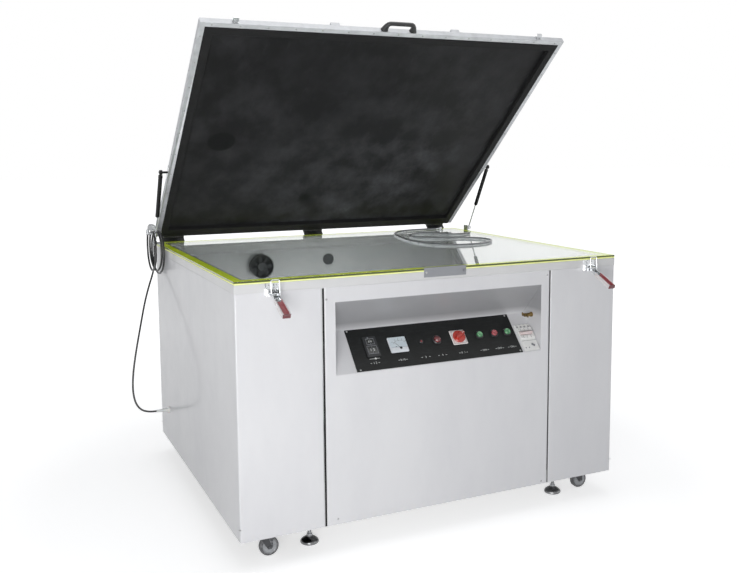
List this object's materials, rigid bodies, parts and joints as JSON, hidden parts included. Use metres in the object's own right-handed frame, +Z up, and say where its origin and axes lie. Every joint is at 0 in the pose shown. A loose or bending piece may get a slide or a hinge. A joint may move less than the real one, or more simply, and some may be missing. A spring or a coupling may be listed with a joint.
{
  "type": "screen printing exposure unit",
  "caption": "Vacuum exposure table: a steel cabinet with a glass bed, a hinged lid with a rubber blanket on gas struts, toggle latches and a control shelf in its front.",
  "frame": {"origin": "on the floor, under the middle of the box round the table and its open lid, cords left out", "axes": "+X to the right of someone at the controls, +Y to the back, +Z up"},
  "size_m": [1.4538, 1.296, 1.5862],
  "materials": {
    "panel_paint": "satin",
    "frame_paint": "satin",
    "recess_paint": "satin",
    "gasket_rubber": "matte",
    "clear_glass": "polished",
    "galvanised": "satin",
    "reflector_metal": "polished",
    "lamp_quartz": "polished",
    "winding": "matte",
    "pump_casting": "satin",
    "fan_plastic": "matte",
    "plate_black": "satin",
    "instrument": "satin",
    "meter_case": "gloss",
    "bezel": "gloss",
    "escutcheon": "satin",
    "green_cap": "gloss",
    "red_cap": "gloss",
    "breaker_case": "satin",
    "breaker_toggle": "satin",
    "brass": "satin",
    "lid_alloy": "satin",
    "black_sponge": "matte",
    "blanket_rubber": "matte",
    "chrome": "polished",
    "steel": "satin",
    "hinge_black": "satin",
    "strut_black": "gloss",
    "red_grip": "satin",
    "fork_steel": "satin",
    "wheel_grey": "matte",
    "foot_black": "satin",
    "white_nylon": "satin",
    "lead_pvc": "satin",
    "plug_grey": "satin",
    "hose_pvc": "satin"
  },
  "bodies": {
    "cabinet": {"welded_frame": "frame_paint", "left_side_panel": "panel_paint", "right_side_panel": "panel_paint", "centre_front_panel": "panel_paint", "back_panel": "panel_paint", "control_recess": "recess_paint", "edge_gasket": "gasket_rubber", "glass_plate": "clear_glass", "front_edge_plate": "steel", "lamp_reflector": "reflector_metal", "exposure_lamp": "lamp_quartz", "ballast": "winding", "vacuum_pump": "pump_casting", "fan_housing": "fan_plastic", "control_plate": "plate_black", "timer": "instrument", "ammeter": "meter_case", "panel_bezels": "bezel", "switch_plate": "escutcheon", "circuit_breaker": "breaker_case", "vent_valve": "brass", "hinge_lower_leaves": "hinge_black", "strut_brackets": "steel", "latch_bases": "steel", "caster_plates": "fork_steel", "mains_gland": "white_nylon", "mains_lead": "lead_pvc", "mains_coil": "lead_pvc", "mains_plug": "plug_grey", "hose_elbow": "brass", "vacuum_hose": "hose_pvc"},
    "fan": {"fan_rotor": "fan_plastic"},
    "start": {"start_button": "green_cap"},
    "stop": {"stop_button": "red_cap"},
    "vacuum": {"vacuum_button": "green_cap"},
    "knob": {"switch_knob": "red_cap"},
    "toggle": {"breaker_lever": "breaker_toggle"},
    "tap": {"valve_handle": "steel"},
    "lid": {"lid_frame": "lid_alloy", "lid_seal": "black_sponge", "rubber_blanket": "blanket_rubber", "lid_handle": "chrome", "lid_catches": "steel", "hinge_upper_leaves": "hinge_black"},
    "rod_left": {"strut_rod_left": "chrome"},
    "rod_right": {"strut_rod_right": "chrome"},
    "cylinder_left": {"strut_cylinder_left": "strut_black"},
    "cylinder_right": {"strut_cylinder_right": "strut_black"},
    "handle_left": {"latch_handle_left": "red_grip"},
    "handle_right": {"latch_handle_right": "red_grip"},
    "hook_left": {"latch_hook_left": "steel"},
    "hook_right": {"latch_hook_right": "steel"},
    "fork_left": {"caster_fork_left": "fork_steel"},
    "fork_right": {"caster_fork_right": "fork_steel"},
    "wheel_front_left": {"caster_wheel_front_left": "wheel_grey"},
    "wheel_front_right": {"caster_wheel_front_right": "wheel_grey"},
    "wheel_rear_left": {"caster_wheel_rear_left": "wheel_grey"},
    "wheel_rear_right": {"caster_wheel_rear_right": "wheel_grey"},
    "levelling_foot_left": {"foot_left": "foot_black"},
    "levelling_foot_right": {"foot_right": "foot_black"}
  },
  "joints": [
    {"name": "lid_hinge", "type": "hinge", "parent": "cabinet", "child": "lid", "pos_m": [0.0145, 0.64005, 0.842], "axis": [-1, 0, 0], "range_deg": [-40.5, 0], "stiffness_Nm_per_rad": 26, "springref_deg": 166.16},
    {"name": "strut_left_swing", "type": "hinge", "parent": "cabinet", "child": "rod_left", "pos_m": [-0.6585, 0.48805, 0.835], "axis": [-1, 0, 0], "range_deg": [-58.8, 0]},
    {"name": "strut_left_stroke", "type": "slide", "parent": "rod_left", "child": "cylinder_left", "axis": [0, -0.5017, 0.865], "range_m": [-0.0584, 0]},
    {"name": "strut_right_swing", "type": "hinge", "parent": "cabinet", "child": "rod_right", "pos_m": [0.6795, 0.48805, 0.835], "axis": [-1, 0, 0], "range_deg": [-58.8, 0]},
    {"name": "strut_right_stroke", "type": "slide", "parent": "rod_right", "child": "cylinder_right", "axis": [0, -0.5017, 0.865], "range_m": [-0.0584, 0]},
    {"name": "latch_left_lever", "type": "hinge", "parent": "cabinet", "child": "handle_left", "pos_m": [-0.5265, -0.53045, 0.789], "axis": [1, 0, 0], "range_deg": [-12, 58]},
    {"name": "latch_left_hook", "type": "hinge", "parent": "handle_left", "child": "hook_left", "pos_m": [-0.5265, -0.54608, 0.78984], "axis": [1, 0, 0], "range_deg": [0, 75]},
    {"name": "latch_right_lever", "type": "hinge", "parent": "cabinet", "child": "handle_right", "pos_m": [0.5555, -0.53045, 0.789], "axis": [1, 0, 0], "range_deg": [-12, 58]},
    {"name": "latch_right_hook", "type": "hinge", "parent": "handle_right", "child": "hook_right", "pos_m": [0.5555, -0.54608, 0.78984], "axis": [1, 0, 0], "range_deg": [0, 75]},
    {"name": "caster_left_swivel", "type": "hinge", "parent": "cabinet", "child": "fork_left", "pos_m": [-0.5555, -0.45595, 0.06], "axis": [0, 0, 1], "continuous": true},
    {"name": "wheel_front_left_spin", "type": "hinge", "parent": "fork_left", "child": "wheel_front_left", "pos_m": [-0.5355, -0.45595, 0.0294], "axis": [0, 1, 0], "continuous": true},
    {"name": "wheel_rear_left_spin", "type": "hinge", "parent": "cabinet", "child": "wheel_rear_left", "pos_m": [-0.5355, 0.54405, 0.0294], "axis": [0, 1, 0], "continuous": true},
    {"name": "caster_right_swivel", "type": "hinge", "parent": "cabinet", "child": "fork_right", "pos_m": [0.5775, -0.42795, 0.06], "axis": [0, 0, 1], "continuous": true},
    {"name": "wheel_front_right_spin", "type": "hinge", "parent": "fork_right", "child": "wheel_front_right", "pos_m": [0.5975, -0.42795, 0.0294], "axis": [0, 1, 0], "continuous": true},
    {"name": "wheel_rear_right_spin", "type": "hinge", "parent": "cabinet", "child": "wheel_rear_right", "pos_m": [0.6045, 0.54405, 0.0294], "axis": [0, 1, 0], "continuous": true},
    {"name": "foot_left_screw", "type": "slide", "parent": "cabinet", "child": "levelling_foot_left", "axis": [0, 0, -1], "range_m": [0, 0.015]},
    {"name": "foot_right_screw", "type": "slide", "parent": "cabinet", "child": "levelling_foot_right", "axis": [0, 0, -1], "range_m": [0, 0.015]},
    {"name": "start_press", "type": "slide", "parent": "cabinet", "child": "start", "axis": [0, 0.7188, -0.6952], "range_m": [0, 0.003], "stiffness_N_per_m": 400, "springref_m": -0.001},
    {"name": "stop_press", "type": "slide", "parent": "cabinet", "child": "stop", "axis": [0, 0.7188, -0.6952], "range_m": [0, 0.003], "stiffness_N_per_m": 400, "springref_m": -0.001},
    {"name": "vacuum_press", "type": "slide", "parent": "cabinet", "child": "vacuum", "axis": [0, 0.7188, -0.6952], "range_m": [0, 0.003], "stiffness_N_per_m": 400, "springref_m": -0.001},
    {"name": "knob_turn", "type": "hinge", "parent": "cabinet", "child": "knob", "pos_m": [0.0965, -0.46539, 0.59279], "axis": [0, -0.7188, 0.6952], "range_deg": [0, 90]},
    {"name": "breaker_toggle", "type": "hinge", "parent": "cabinet", "child": "toggle", "pos_m": [0.341, -0.47443, 0.58344], "axis": [1, 0, 0], "range_deg": [-50, 0]},
    {"name": "vent_tap", "type": "hinge", "parent": "cabinet", "child": "tap", "pos_m": [0.3445, -0.46195, 0.64], "axis": [1, 0, 0], "range_deg": [0, 90]},
    {"name": "fan_spin", "type": "hinge", "parent": "cabinet", "child": "fan", "pos_m": [-0.2235, 0.58405, 0.704], "axis": [0, 1, 0], "continuous": true}
  ],
  "couplings": [
    {"joint": "strut_left_swing", "follows": "lid_hinge", "ratio": 1.4503},
    {"joint": "strut_left_stroke", "follows": "lid_hinge", "m_per_rad": 0.08254},
    {"joint": "strut_right_swing", "follows": "lid_hinge", "ratio": 1.4503},
    {"joint": "strut_right_stroke", "follows": "lid_hinge", "m_per_rad": 0.08254}
  ]
}
